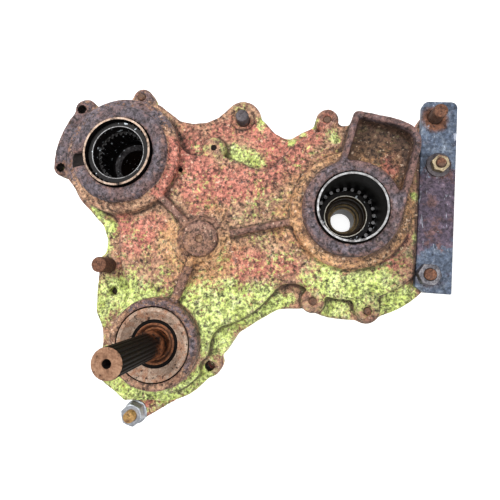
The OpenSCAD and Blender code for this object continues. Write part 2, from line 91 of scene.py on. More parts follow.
class Finish:
    """One procedural material, built up in layers from noise in the object's own coordinates."""

    def __init__(self, name):
        self.material = bpy.data.materials.new(name)
        self.material.use_nodes = True
        self.tree = self.material.node_tree
        self.shader = self.tree.nodes["Principled BSDF"]
        self.coords = self.tree.nodes.new("ShaderNodeTexCoord").outputs["Object"]
        self.seed = 0.0

    def node(self, kind, settings=None, **inputs):
        made = self.tree.nodes.new("ShaderNode" + kind)
        for key, value in (settings or {}).items():
            setattr(made, key, value)
        for key, value in inputs.items():
            self.join(made.inputs[key.replace("_", " ")], value)
        return made

    def join(self, socket, value):
        if isinstance(value, bpy.types.NodeSocket):
            self.tree.links.new(value, socket)
        else:
            socket.default_value = value

    def noise(self, size, detail=3.0, rough=0.6, twist=0.0, stretch=None):
        """Noise from 0 to 1 whose features are about size millimetres across."""
        self.seed += 3.7
        vector = self.coords
        if stretch:
            vector = self.node("Mapping", Vector=vector, Scale=stretch).outputs[0]
        made = self.node("TexNoise", {"noise_dimensions": "4D"}, Vector=vector, W=self.seed,
                         Scale=500.0 / size, Detail=detail, Roughness=rough, Distortion=twist)
        return made.outputs["Fac"]

    def height(self):
        return self.node("SeparateXYZ", Vector=self.coords).outputs["Z"]

    def attribute(self, name):
        return self.node("Attribute", {"attribute_name": name}).outputs["Fac"]

    def maths(self, operation, a, b=0.0, c=0.0):
        made = self.tree.nodes.new("ShaderNodeMath")
        made.operation = operation
        for socket, value in zip(made.inputs, (a, b, c)):
            self.join(socket, value)
        return made.outputs[0]

    def ramp(self, value, low, high):
        """0 below low and 1 above high, smooth between them. low may be above high."""
        made = self.node("MapRange", {"interpolation_type": "SMOOTHSTEP"}, Value=value,
                         From_Min=low, From_Max=high)
        return made.outputs[0]

    def times(self, a, b):
        return self.maths("MULTIPLY", a, b)

    def add(self, a, b, scale=1.0):
        return self.maths("MULTIPLY_ADD", b, scale, a)

    def mix(self, factor, a, b):
        made = self.tree.nodes.new("ShaderNodeMix")
        made.data_type = "RGBA"
        self.join(made.inputs["Factor"], factor)
        self.join(made.inputs[6], a)
        self.join(made.inputs[7], b)
        return made.outputs[2]

    def shade(self, colour, amount):
        """A colour made lighter or darker by a factor."""
        return self.node("VectorMath", {"operation": "SCALE"}, Vector=colour, Scale=amount).outputs[0]

    def radius(self, centre):
        """Distance from an axis along Z, in metres."""
        level = self.node("VectorMath", {"operation": "MULTIPLY"}, Vector=self.coords)
        level.inputs[1].default_value = (1, 1, 0)
        made = self.node("VectorMath", {"operation": "DISTANCE"}, Vector=level.outputs[0])
        made.inputs[1].default_value = (centre[0] * MM, centre[1] * MM, 0)
        return made.outputs["Value"]

    def band(self, value, low, high, soft=0.25):
        """1 where a length in metres lies between low and high millimetres."""
        return self.times(self.ramp(value, (low - soft) * MM, (low + soft) * MM),
                          self.ramp(value, (high + soft) * MM, (high - soft) * MM))

    def tones(self, value, *stops):
        """A colour ramp through (place, colour) stops."""
        made = self.tree.nodes.new("ShaderNodeValToRGB")
        ramp = made.color_ramp
        while len(ramp.elements) < len(stops):
            ramp.elements.new(0.5)
        for element, (place, colour) in zip(ramp.elements, stops):
            element.position = place
            element.color = colour
        self.join(made.inputs["Fac"], value)
        return made.outputs["Color"]

    def done(self, colour, rough, height=None, depth=0.4, metal=None):
        """Joins the layers to the shader. depth is the height of the bumps in millimetres."""
        self.join(self.shader.inputs["Base Color"], colour)
        self.join(self.shader.inputs["Roughness"], rough)
        if metal is not None:
            self.join(self.shader.inputs["Metallic"], metal)
        if height is not None:
            bump = self.node("Bump", Height=height, Distance=depth * MM, Strength=1.0)
            self.join(self.shader.inputs["Normal"], bump.outputs[0])
        return self.material


RUST_TONES = ((0.28, rgb(76, 52, 42)), (0.42, rgb(132, 96, 76)), (0.52, rgb(174, 136, 108)),
              (0.62, rgb(204, 168, 136)), (0.74, rgb(230, 204, 174)))
OCHRE_TONES = ((0.3, rgb(114, 74, 48)), (0.45, rgb(176, 128, 84)), (0.58, rgb(210, 168, 122)),
               (0.72, rgb(230, 200, 160)))
RED_TONES = ((0.3, rgb(108, 56, 48)), (0.44, rgb(166, 94, 82)), (0.56, rgb(198, 124, 108)), (0.7, rgb(224, 172, 152)))
GREEN_TONES = ((0.28, rgb(112, 118, 56)), (0.42, rgb(174, 190, 96)), (0.55, rgb(208, 224, 140)),
               (0.7, rgb(236, 246, 204)))
FACE_TONES = ((0.28, rgb(34, 28, 32)), (0.42, rgb(72, 63, 69)), (0.54, rgb(104, 95, 102)), (0.7, rgb(162, 152, 158)))
STAIN_TONES = ((0.3, rgb(62, 42, 38)), (0.5, rgb(116, 84, 76)), (0.7, rgb(160, 124, 110)))
# Dark tones for the painted shade in hollows.
SHADE_TONES = ((0.3, rgb(26, 18, 15)), (0.55, rgb(62, 44, 38)), (0.75, rgb(104, 76, 64)))


def cast_paint(name, painted):
    """Cast iron with a worn red coat, a worn yellow-green coat over it, rust, bare machined faces, edges darkened as
    wear and as painted shade, painted shade in hollows, and bores black with oil and painted shade.
    Where painted is False the layout of the coats comes from noise alone, and not from the mesh's attributes."""
    f = Finish(name)
    flakes, crust, mottled = f.noise(22, 9, 0.76, 0.7), f.noise(17, 9, 0.76, 0.5), f.noise(9, 7, 0.75)
    fine, grit, broad = f.noise(3.4, 3, 0.7), f.noise(1.9, 2, 0.6), f.noise(46, 5, 0.65)

    def cover(place, flaky, sharp=0.08):
        """Mask of a coat that lies on about the share of the surface that place says."""
        broken = f.add(f.add(flaky, -0.5), f.add(grit, -0.5), 0.9)
        return f.ramp(f.add(place, broken, 1.9), 0.5 - sharp, 0.5 + sharp)

    rust_place = f.attribute("rust") if painted else 0.3
    red_place = f.attribute("red") if painted else f.ramp(broad, 0.4, 0.62)
    green_place = f.attribute("green") if painted else f.times(f.ramp(broad, 0.62, 0.36), 0.8)
    colour = f.mix(f.times(cover(rust_place, f.noise(20, 8, 0.75), 0.3), 0.8),
                   f.tones(f.add(f.times(mottled, 0.6), f.times(grit, 0.4)), *RUST_TONES),
                   f.tones(f.add(f.times(mottled, 0.5), f.times(fine, 0.5)), *OCHRE_TONES))
    red = cover(red_place, flakes, 0.3)
    colour = f.mix(f.times(red, 0.9), colour, f.tones(f.add(f.times(fine, 0.5), f.times(mottled, 0.5)), *RED_TONES))
    green = cover(green_place, crust, 0.22)
    colour = f.mix(f.times(green, 0.95), colour,
                   f.tones(f.add(f.times(fine, 0.45), f.times(mottled, 0.55)), *GREEN_TONES))
    thick = f.maths("MAXIMUM", red, green)
    grain = f.add(f.times(mottled, 0.4), f.add(f.times(fine, 0.35), f.times(grit, 0.25)))
    if painted:
        ribbed = cover(f.attribute("rib"), mottled, 0.3)
        colour = f.mix(f.times(ribbed, 0.8), colour, f.tones(grain, *STAIN_TONES))
        bare = cover(f.attribute("face"), mottled, 0.12)
        # Convex edges turn brown, partly as wear and partly as painted shade along the outlines.
        worn = cover(f.times(f.attribute("edge"), 0.8), fine, 0.3)
        # Painted shade in creases, recesses, at the dome's foot and beside the strap.
        shaded = cover(f.times(f.attribute("hollow"), 0.95), mottled, 0.4)
        stain = f.ramp(f.add(crust, f.times(f.attribute("rust"), 0.1)), 0.46, 0.62)
        steel = f.mix(f.times(stain, 0.6), f.tones(grain, *FACE_TONES), f.tones(grain, *STAIN_TONES))
        colour = f.mix(bare, colour, steel)
        # Edges darkened as wear and as painted shade.
        colour = f.mix(f.times(worn, 0.75), colour, f.tones(grain, *STAIN_TONES))
        # Painted shade darkens the colour here.
        colour = f.mix(f.times(shaded, 0.85), colour, f.tones(grain, *SHADE_TONES))
    # dark pits, pale chips, and dust and soot over everything
    pits = f.times(f.ramp(f.noise(3.0, 2, 0.6), 0.55, 0.63), f.ramp(f.noise(24, 4, 0.7), 0.3, 0.6))
    colour = f.mix(f.times(pits, 0.75), colour, rgb(52, 36, 30))
    chips = f.times(f.ramp(f.noise(2.3, 2, 0.6), 0.61, 0.69), 0.5)
    if painted:
        chips = f.times(chips, f.maths("SUBTRACT", 1.0, f.times(bare, 0.75)))
    colour = f.mix(chips, colour, rgb(228, 202, 174))
    soot = f.add(f.add(-2.36, f.noise(2.1, 2, 0.7), 5.6), f.noise(30, 5, 0.7), 1.3)
    colour = f.shade(colour, f.maths("MINIMUM", f.maths("MAXIMUM", soot, 0.2), 1.65))
    rough = f.add(0.58, grain, 0.35)
    if painted:
        # Oily black in the bores, and painted shade in the holes, the notch and on faces turned down.
        oil_and_shade = f.ramp(f.attribute("inside"), 0.3, 0.7)
        colour = f.mix(oil_and_shade, colour, f.tones(grain, (0.35, rgb(10, 8, 8)), (0.65, rgb(44, 36, 34))))
        rough = f.add(rough, oil_and_shade, -0.2)
        f.join(f.shader.inputs["Specular IOR Level"], f.add(0.5, oil_and_shade, -0.42))
    return f.done(colour, rough, f.add(grain, thick, 0.4), 1.2)


def worn_metal(name, tones, size=8.0, rust=0.2, rust_tones=RUST_TONES, rough=0.35, spread=0.3, metal=0.9,
               depth=0.12, spots=0.0, ends=(1.0, 1.0), lower=None, gloss=0.5):
    """Metal with mottled tones, rust in patches and dents. ends are the painted shade of sides and the painted light
    of upward faces, as brightness factors.
    """
    f = Finish(name)
    f.shader.inputs["Specular IOR Level"].default_value = gloss
    mottled, fine = f.noise(size, 5, 0.75, 0.4), f.noise(size * 0.22, 3, 0.65)
    grain = f.add(f.times(mottled, 0.55), f.times(fine, 0.45))
    colour = f.tones(grain, *tones)
    rusty = f.ramp(f.noise(size * 2.4, 5, 0.72, 0.5), 0.64 - rust * 0.5, 0.74 - rust * 0.45)
    colour = f.mix(rusty, colour, f.tones(f.add(f.times(fine, 0.6), f.times(f.noise(1.4, 2), 0.4)), *rust_tones))
    if spots:
        colour = f.mix(f.times(f.ramp(f.noise(2.4, 2, 0.5), 0.58, 0.66), spots), colour, rgb(40, 28, 24))
    if lower:
        low_part = f.ramp(f.node("SeparateXYZ", Vector=f.coords).outputs["Y"], 20 * MM, 0)
        colour = f.mix(low_part, colour, f.tones(grain, *lower))
    # Painted light: upward faces lighter and sides darker by the ends factors.
    facing = f.node("SeparateXYZ", Vector=f.node("NewGeometry").outputs["Normal"]).outputs["Z"]
    colour = f.shade(colour, f.add(ends[0], f.ramp(facing, 0.4, 0.9), ends[1] - ends[0]))
    roughness = f.add(f.add(rough, grain, spread), rusty, 0.3)
    return f.done(colour, roughness, f.add(grain, rusty, 0.6), depth * 2,
                  f.times(f.maths("SUBTRACT", 1.0, rusty), metal))


def two_greys(dark, light):
    return ((0.3, rgb(*dark)), (0.52, rgb(*[(a + b) // 2 for a, b in zip(dark, light)])), (0.72, rgb(*light)))


DARK_RUST = ((0.25, rgb(52, 34, 28)), (0.45, rgb(98, 66, 52)), (0.62, rgb(142, 98, 74)), (0.8, rgb(184, 138, 108)))
BROWN_STEEL = two_greys((64, 48, 42), (150, 116, 96))
oil_black = worn_metal("oil_black_steel", two_greys((8, 7, 8), (58, 54, 56)), 7, 0.05, DARK_RUST, 0.16, 0.3, 0.85,
                       0.35)
race = worn_metal("bearing_steel", two_greys((120, 112, 108), (236, 230, 224)), 9, 0.1, DARK_RUST, 0.22, 0.25, 0.9,
                  0.05)
rusty = worn_metal("rusty_steel", BROWN_STEEL, 6, 0.45, DARK_RUST, 0.55, 0.3, 0.35, 0.35, spots=0.5, ends=(0.6, 1.15))
bolt_end = worn_metal("bolt_end_steel", two_greys((58, 54, 58), (138, 130, 132)), 5, 0.16, DARK_RUST, 0.4, 0.3, 0.7,
                      0.3, spots=0.5)
bolt_brown = worn_metal("bolt_brown_steel", two_greys((74, 54, 44), (158, 124, 102)), 5, 0.3, DARK_RUST, 0.5, 0.3, 0.3,
                        0.3, spots=0.5)
retainer_rust = worn_metal("retainer_rust", two_greys((124, 90, 74), (255, 236, 212)), 3.5, 0.35,
                           ((0.3, rgb(110, 76, 62)), (0.5, rgb(178, 132, 106)), (0.7, rgb(226, 186, 152))), 0.6, 0.3,
                           0.1, 0.3, spots=0.9)
collar_rust = worn_metal("collar_rust", two_greys((48, 34, 28), (128, 92, 70)), 6, 0.5,
                         ((0.3, rgb(72, 42, 28)), (0.5, rgb(128, 80, 52)), (0.7, rgb(180, 128, 90))), 0.5, 0.3, 0.3,
                         0.3, spots=0.6, ends=(0.5, 1.3))
seal_black = worn_metal("seal_black", two_greys((6, 5, 5), (32, 27, 25)), 6, 0.08, DARK_RUST, 0.45, 0.3, 0.0, 0.3,
                        gloss=0.08)
fibre = worn_metal("fibre_gasket", two_greys((44, 36, 32), (92, 78, 66)), 6, 0.2, DARK_RUST, 0.75, 0.2, 0.0, 0.3)
zinc_yellow = worn_metal("zinc_yellow", two_greys((140, 122, 92), (242, 226, 192)), 6, 0.16, DARK_RUST, 0.35, 0.3, 0.7,
                         0.2, spots=0.6, ends=(0.75, 1.1),
                         lower=((0.35, rgb(60, 58, 62)), (0.5, rgb(112, 110, 116)), (0.65, rgb(178, 174, 176))))
zinc_grey = worn_metal("zinc_grey", two_greys((130, 136, 146), (236, 238, 242)), 8, 0.04, DARK_RUST, 0.3, 0.25, 0.7,
                       0.15)
stud_tan = worn_metal("stud_tan", two_greys((150, 110, 62), (236, 196, 130)), 5, 0.1, DARK_RUST, 0.4, 0.3, 0.6, 0.3,
                      spots=0.5)
bronze = worn_metal("bearing_bronze", two_greys((110, 78, 34), (196, 150, 84)), 7, 0.05, DARK_RUST, 0.35, 0.2, 0.9,
                    0.1)
gear_steel = worn_metal("gear_steel", two_greys((34, 30, 28), (120, 112, 104)), 8, 0.12, DARK_RUST, 0.25, 0.3, 0.8,
                        0.1)


LIGHT_STEEL = ((0.35, rgb(96, 92, 92)), (0.5, rgb(168, 166, 166)), (0.65, rgb(226, 228, 230)))


def bored_metal(name, bands, glints=0.0, base=((0.35, rgb(3, 3, 3)), (0.65, rgb(28, 24, 24)))):
    """Oily black steel with bands of lighter bare steel, lit up as painted highlights: (axis, radius from, to, height
    from, to, tones, amount).
    """
    f = Finish(name)
    f.shader.inputs["Specular IOR Level"].default_value = 0.15
    mottled, fine = f.noise(7, 6, 0.75, 0.4), f.noise(2.2, 3, 0.7)
    grain = f.add(f.times(mottled, 0.5), f.times(fine, 0.5))
    colour = f.tones(grain, *base)
    z = f.height()
    shining = 0.0
    for centre, r_low, r_high, low, high, tones, amount in bands:
        place = f.times(f.band(f.radius(centre), r_low, r_high, 0.3), f.band(z, low, high, 0.3))
        place = f.times(f.times(place, amount), f.ramp(mottled, 0.3, 0.5))
        colour = f.mix(place, colour, f.tones(grain, *tones))
        shining = f.maths("MAXIMUM", shining, place)
    # Painted glints: sparse pale flecks.
    if glints:
        spark = f.ramp(f.noise(3.2, 2, 0.6), 0.76 - glints, 0.8 - glints)
        colour = f.mix(f.times(spark, 0.9), colour, rgb(214, 222, 228))
    return f.done(colour, f.add(0.3, grain, 0.3), grain, 0.5, f.add(0.15, shining, 0.5))


def strap_finish():
    """Weathered bar: blue-grey ends, purple rust in the middle, pale scratches and a rust stain at the top stud."""
    f = Finish("weathered_bar")
    low, high = (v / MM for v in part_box("side_strap"))
    mottled, fine, grit = f.noise(9, 5, 0.75, 0.5), f.noise(3, 3, 0.7), f.noise(1.5, 2)
    grain = f.add(f.times(mottled, 0.5), f.add(f.times(fine, 0.3), f.times(grit, 0.2)))
    blue = f.tones(grain, (0.36, rgb(52, 62, 78)), (0.5, rgb(94, 106, 126)), (0.6, rgb(134, 144, 158)),
                   (0.7, rgb(200, 206, 212)))
    rust = f.tones(grain, (0.36, rgb(48, 38, 46)), (0.5, rgb(88, 76, 92)), (0.6, rgb(126, 108, 122)),
                   (0.7, rgb(186, 176, 192)))
    along = f.node("SeparateXYZ", Vector=f.coords).outputs["Y"]
    upper = f.ramp(f.add(along, f.add(mottled, -0.5), 0.09), (high.y - 82) * MM, (high.y - 112) * MM)
    lower = f.ramp(f.add(along, f.add(mottled, -0.5), 0.09), (low.y + 54) * MM, (low.y + 78) * MM)
    middle_part = f.times(upper, lower)
    rusted = f.ramp(f.add(f.noise(26, 5, 0.7, 0.4), middle_part, 0.3), 0.56, 0.7)
    colour = f.mix(rusted, blue, rust)
    warm = f.ramp(f.add(f.noise(14, 4, 0.7), middle_part, 0.14), 0.62, 0.72)
    colour = f.mix(f.times(warm, 0.7), colour, f.tones(fine, (0.3, rgb(84, 56, 54)), (0.7, rgb(140, 104, 96))))
    for ((x, y), _, _), reach, amount in zip(STRAP_STUDS, (17, 15, 13), (0.95, 0.6, 0.5)):
        near = f.node("VectorMath", {"operation": "DISTANCE"}, Vector=f.coords)
        near.inputs[1].default_value = (x * MM, (y - 3) * MM, (DECK + 11) * MM)
        stain = f.ramp(f.add(near.outputs["Value"], f.add(mottled, -0.5), 0.022), (reach + 5) * MM, (reach - 3) * MM)
        brown = f.tones(grain, (0.35, rgb(78, 48, 36)), (0.6, rgb(146, 96, 66)))
        colour = f.mix(f.times(stain, amount), colour, brown)
    scratches = f.ramp(f.noise(5, 3, 0.6, 1.5, stretch=(1.0, 0.35, 1.0)), 0.63, 0.68)
    colour = f.mix(f.times(scratches, 0.6), colour, rgb(206, 212, 226))
    pits = f.ramp(f.noise(2.4, 2), 0.6, 0.68)
    colour = f.mix(f.times(pits, 0.7), colour, rgb(44, 38, 44))
    soot = f.add(f.add(-1.1, f.noise(2.4, 2, 0.7), 3.0), f.noise(20, 5, 0.7), 1.2)
    colour = f.shade(colour, f.maths("MINIMUM", f.maths("MAXIMUM", soot, 0.35), 1.7))
    return f.done(colour, f.add(0.42, grain, 0.4), f.add(grain, scratches, -0.3), 0.8, 0.25)


def shaft_finish():
    """Splined shaft: black with old grease along the teeth, rust-brown on the end face."""
    f = Finish("splined_shaft")
    tip = top("output_shaft")
    f.shader.inputs["Specular IOR Level"].default_value = 0.15
    mottled, fine, grit = f.noise(7, 5, 0.75, 0.5), f.noise(2.4, 3, 0.7), f.noise(1.4, 2)
    grain = f.add(f.times(mottled, 0.5), f.add(f.times(fine, 0.3), f.times(grit, 0.2)))
    black = f.tones(grain, (0.35, rgb(7, 5, 4)), (0.55, rgb(20, 15, 13)), (0.72, rgb(54, 38, 32)))
    brown = f.tones(grain, (0.34, rgb(96, 68, 54)), (0.46, rgb(150, 112, 88)), (0.57, rgb(188, 148, 120)),
                    (0.7, rgb(218, 184, 154)))
    end = f.ramp(f.height(), (tip - 1.0) * MM, (tip - 0.6) * MM)
    root = f.ramp(f.add(f.height(), f.add(fine, -0.5), 0.004), (DOME + 62) * MM, (DOME + 22) * MM)
    colour = f.mix(end, black, brown)
    colour = f.mix(f.times(root, f.ramp(mottled, 0.42, 0.62)), colour,
                   f.tones(grain, (0.35, rgb(82, 44, 28)), (0.65, rgb(168, 104, 66))))
    pits = f.times(f.ramp(f.noise(2.4, 2), 0.57, 0.65), 0.55)
    colour = f.mix(pits, colour, rgb(44, 30, 26))
    return f.done(colour, f.add(0.38, grain, 0.5), grain, 0.6, 0.3)


# ---- mesh code ----

def show(name, mesh, body, slot, material, *nodes):
    """Adds a mesh as a piece that rides on a body and stands for some CAD nodes."""
    piece = bpy.data.objects.new(name, mesh)
    bpy.context.scene.collection.objects.link(piece)
    mesh.materials.clear()
    mesh.materials.append(material)
    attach(piece, body)
    if nodes:
        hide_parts(*nodes)
    return piece


def baked(source):
    """A new mesh of an object with its modifiers applied."""
    graph = bpy.context.evaluated_depsgraph_get()
    mesh = bpy.data.meshes.new_from_object(source.evaluated_get(graph), depsgraph=graph)
    bpy.data.objects.remove(source)
    return mesh


def positions(mesh):
    flat = np.zeros(len(mesh.vertices) * 3, np.float32)
    mesh.vertices.foreach_get("co", flat)
    return flat.reshape(-1, 3).astype(float)


def normals(mesh):
    flat = np.zeros(len(mesh.vertices) * 3, np.float32)
    mesh.vertex_normals.foreach_get("vector", flat)
    return flat.reshape(-1, 3).astype(float)


class Web:
    """Neighbour averages over a mesh's edges."""

    def __init__(self, mesh):
        ends = np.zeros(len(mesh.edges) * 2, np.int32)
        mesh.edges.foreach_get("vertices", ends)
        a, b = ends.reshape(-1, 2).T
        self.a, self.b, self.n = np.concatenate([a, b]), np.concatenate([b, a]), len(mesh.vertices)
        self.count = np.maximum(np.bincount(self.a, minlength=self.n), 1)

    def mean(self, values):
        if values.ndim == 1:
            return np.bincount(self.a, values[self.b], self.n) / self.count
        return np.stack([self.mean(values[:, i]) for i in range(values.shape[1])], 1)

    def smooth(self, values, rounds, share=0.6):
        for _ in range(rounds):
            values = values + (self.mean(values) - values) * share
        return values


def cast_copy(name, node, voxel, rounds, hold, keep_faces):
    """A remeshed copy of a CAD casting, smoothed as cast edges are except where hold(points) is 1."""
    source = bpy.data.objects.new(name + "_source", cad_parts[node].data.copy())
    bpy.context.scene.collection.objects.link(source)
    weld = source.modifiers.new("weld", "WELD")
    weld.merge_threshold = 0.00001
    remesh = source.modifiers.new("grain", "REMESH")
    remesh.mode, remesh.voxel_size, remesh.adaptivity = "VOXEL", voxel * MM, 0.0
    mesh = baked(source)
    web, points = Web(mesh), positions(mesh)
    free = (1 - hold(points / MM))[:, None]
    points = web.smooth(points, rounds, 0.6 * free)
    swell = np.array([noise.noise(Vector(p) * 60.0) + 0.5 * noise.noise(Vector(p) * 170.0) for p in points])
    mesh.vertices.foreach_set("co", points.astype(np.float32).ravel())
    mesh.update()
    points = points + normals(mesh) * (swell * 0.55 * MM)[:, None] * free
    mesh.vertices.foreach_set("co", points.astype(np.float32).ravel())
    mesh.update()
    source = bpy.data.objects.new(name + "_dense", mesh)
    bpy.context.scene.collection.objects.link(source)
    thin = source.modifiers.new("thin", "DECIMATE")
    thin.ratio = min(1.0, keep_faces / max(1, sum(len(p.vertices) - 2 for p in mesh.polygons)))
    mesh = baked(source)
    mesh.polygons.foreach_set("use_smooth", [True] * len(mesh.polygons))
    return mesh


def mark(mesh, name, values):
    layer = mesh.attributes.new(name, "FLOAT", "POINT")
    layer.data.foreach_set("value", np.clip(values, 0, 1).astype(np.float32))


def patches(points, spots):
    """1 in the middle of each (x, y, radius, amount) spot, fading out round it."""
    left = np.ones(len(points))
    for x, y, radius, amount in spots:
        left *= 1 - amount * np.exp(-(((points[:, 0] - x) ** 2 + (points[:, 1] - y) ** 2) / radius ** 2) ** 1.1)
    return 1 - left


def sunk(points, reach):
    """How far each point lies below the mean height of the metal around it, within about reach millimetres."""
    low = points[:, :2].min(0) - 3 * reach
    cell = ((points[:, :2] - low) / 2).astype(int)
    shape = cell.max(0) + int(3 * reach) + 2
    tops = np.full(shape, -1.0)
    np.maximum.at(tops, (cell[:, 0], cell[:, 1]), points[:, 2])
    known = (tops > 0) * 1.0
    total, count = tops * known, known
    width = max(1, int(reach / 2 / 3 + 0.5))
    for axis in (0, 1, 0, 1, 0, 1):
        total, count = (sum(np.roll(grid, k, axis) for k in range(-width, width + 1)) for grid in (total, count))
    mean = total / np.maximum(count, 1e-6)
    return mean[cell[:, 0], cell[:, 1]] - points[:, 2]


def away(points, centre):
    return np.hypot(points[:, 0] - centre.x, points[:, 1] - centre.y)


def fade(values, low, high):
    t = np.clip((values - low) / (high - low), 0, 1)
    return t * t * (3 - 2 * t)


def hexagon(across, turn):
    """Radius of a hexagon at an angle in radians."""
    def radius(angle):
        return across / 2 / math.cos((angle - math.radians(turn) + math.pi / 6) % (math.pi / 3) - math.pi / 6)
    return radius


def turned(rings, centre, steps=48, loop=False):
    """Vertices and faces of a form turned about Z. rings are (height, radius), where radius may be a function of
    the angle. loop joins the last ring to the first, and otherwise both ends are closed with a flat face."""
    points, faces = [], []
    for height, radius in rings:
        for i in range(steps):
            angle = 2 * math.pi * i / steps
            r = radius(angle) if callable(radius) else radius
            x, y = centre[0] + r * math.cos(angle), centre[1] + r * math.sin(angle)
            points.append((x * MM, y * MM, height * MM))
    count = len(rings)
    for k in range(count if loop else count - 1):
        low, high = k * steps, (k + 1) % count * steps
        for i in range(steps):
            j = (i + 1) % steps
            faces.append((low + i, low + j, high + j, high + i))
    if not loop:
        faces.append(tuple(reversed(range(steps))))
        faces.append(tuple((count - 1) * steps + i for i in range(steps)))
    return points, faces


def joined(name, forms, smooth_angle=40):
    """One mesh of several (points, faces) forms, with edges sharper than smooth_angle left sharp."""
    points, faces = [], []
    for some_points, some_faces in forms:
        start = len(points)
        points += some_points
        faces += [tuple(start + i for i in face) for face in some_faces]
    mesh = bpy.data.meshes.new(name)
    mesh.from_pydata(points, [], faces)
    mesh.update()
    mesh.polygons.foreach_set("use_smooth", [True] * len(mesh.polygons))
    mesh.set_sharp_from_angle(angle=math.radians(smooth_angle))
    return mesh


def rod(centre, radius, low, high, pitch, depth, rough, thread_from=None):
    """A threaded rod with a chamfered end. The thread starts at thread_from, or at the bottom."""
    steps, per_turn = 40, 6
    start = low if thread_from is None else thread_from
    levels = [low] + list(np.arange(start, high - 1.2, pitch / per_turn)) + [high - 1.2]

    def ring(z):
        def radius_at(angle):
            wobble = rough * noise.noise(Vector((math.cos(angle) * 3, math.sin(angle) * 3, z * 0.3 + centre[0])))
            groove = abs(((z - start) / pitch - angle / (2 * math.pi)) % 1 - 0.5) * 2
            cut = depth * max(0.0, 1 - groove * 1.35) * min(1, max(0, (z - start) / pitch))
            return radius - cut - abs(wobble)
        return z, radius_at

    rings = [ring(z) for z in levels]
    rings += [(high - 0.3, radius - 1.1), (high, radius - 1.9), (high - 0.2, radius * 0.45), (high - 0.05, 0.3)]
    return turned(rings, centre, steps)


def nut(centre, across, low, height, hole, turn):
    """A hexagon nut with chamfered corners and a countersunk hole."""
    hexed = hexagon(across, turn)

    def cut_by(reach):
        return lambda angle: min(hexed(angle), across / 2 * 0.965 + reach * 1.9)

    rings = [(low, hole + 0.7), (low, across / 2 * 0.93)]
    rings += [(low + d, cut_by(d)) for d in (0.05, 0.5, 1.0, 1.6, 2.4)]
    rings += [(low + height - d, cut_by(d)) for d in (2.4, 1.6, 1.0, 0.5, 0.05)]
    rings += [(low + height, across / 2 * 0.93), (low + height, hole + 0.9), (low + height - 1.0, hole),
              (low + 0.8, hole)]
    return turned(rings, centre, 72, loop=True)


def bolt_head(centre, across, low, height, turn):
    hexed = hexagon(across, turn)
    rings = [(low, across / 2 * 0.9)]
    rings += [(low + d, lambda angle, d=d: min(hexed(angle), across / 2 * 0.95 + d * 1.9))
              for d in (0.05, 0.5, 1.1, 1.8)]
    rings += [(low + height, hexed)]
    return turned(rings, centre, 72)


def washer(centre, outer, inner, low, height):
    rings = [(low + 0.3, inner), (low, inner + 0.3), (low, outer - 0.5), (low + 0.5, outer),
             (low + height - 0.5, outer), (low + height, outer - 0.6), (low + height, inner + 0.4),
             (low + height - 0.4, inner)]
    return turned(rings, centre, 64, loop=True)


# ---- castings ----

def cover_hold(points):
    """1 on the machined faces and in the bores of the front cover, which keep their crisp shape."""
    held = np.zeros(len(points))
    # axis of each boss, radii of its bore and of the flat round it, and height of the flat
    for centre, inner, outer, face in ((INPUT, 53, 64, 145), (THROUGH, 50.5, 58, 148), (OUTPUT, 53.5, 56, 145)):
        r = away(points, centre)
        held = np.maximum(held, (r < inner) * 0.95)
        held = np.maximum(held, ((r < outer) & (points[:, 2] > face - 1.5)) * 0.6)
    for (x, y), radius, _ in HOLES + [(LOBE, 17.5, 0)]:
        held = np.maximum(held, (abs(np.hypot(points[:, 0] - x, points[:, 1] - y) - radius) < 3) * 0.8)
    held = np.maximum(held, (points[:, 2] < DECK - 13) * 1.0)
    return held


def housing_hold(points):
    """1 on the joint face and in the bearing seats of the rear housing."""
    held = (points[:, 2] > 86.5) * 1.0
    for centre, radius in ((INPUT, 54), (THROUGH, 49), (OUTPUT, 40), (IDLER, 20)):
        held = np.maximum(held, (away(points, centre) < radius) & (points[:, 2] > 1) & (points[:, 2] < 30))
    return held


# (x, y, radius, amount) of the places where each coat is left
GREEN_PATCHES = [
    (-163, -87, 26, 0.8), (-161, -120, 19, 0.9), (-150, -163, 19, 0.9), (-122, -220, 26, 1), (-91, -233, 29, 1),
    (-55, -226, 29, 1), (-18, -206, 24, 1), (3, -188, 19, 0.9), (27, -140, 19, 0.9), (41, -111, 19, 0.9),
    (60, -92, 19, 0.9), (85, -80, 17, 0.8), (200, -101, 19, 0.8), (258, -92, 22, 1), (280, -78, 19, 1),
    (84, 178, 17, 0.7), (55, 204, 14, 0.6), (-164, 11, 17, 0.9), (-155, -12, 17, 0.9), (295, 56, 10, 0.9),
    (294, 0, 10, 0.9), (180, -98, 17, 0.7), (-135, -192, 24, 0.9), (-135, -72, 31, 0.9), (-104, -86, 31, 0.95),
    (-74, -86, 24, 0.8), (-53, -43, 19, 0.5), (-30, -85, 26, 0.8), (-2, -85, 26, 0.9), (20, -85, 24, 0.8),
    (41, -64, 19, 0.6), (69, -64, 17, 0.45), (97, -71, 19, 0.7), (-15, -127, 29, 0.95), (6, -113, 29, 0.95),
    (-74, -114, 17, 0.5), (179, -57, 31, 0.85), (212, -70, 31, 1), (245, -63, 29, 1), (145, -57, 24, 0.5),
    (166, -32, 14, 0.4), (46, 130, 19, 0.85), (68, 122, 17, 0.8), (83, 114, 10, 0.6), (2, 132, 12, 0.5),
    (17, 146, 14, 0.5), (126, 154, 14, 0.6), (154, 127, 14, 0.5), (182, 147, 12, 0.7), (139, 105, 10, 0.3),
    (-62, 0, 10, 0.4), (139, -15, 10, 0.4), (97, 34, 12, 0.3), (-150, 60, 12, 0.5), (-140, 25, 12, 0.5),
    (45, -105, 22, 0.9), (70, -115, 14, 1), (88, -102, 13, 1), (105, -91, 12, 1), (122, -84, 12, 0.9),
    (25, -150, 22, 1), (4, -190, 15, 0.8), (128, 144, 7, 0.9), (146, 157, 7, 0.9), (161, 167, 7, 0.9),
    (190, 140, 8, 0.9), (-16, 144, 9, 0.8), (-164, 41, 10, 0.9), (-149, 25, 11, 0.9), (-174, 54, 8, 0.7)]
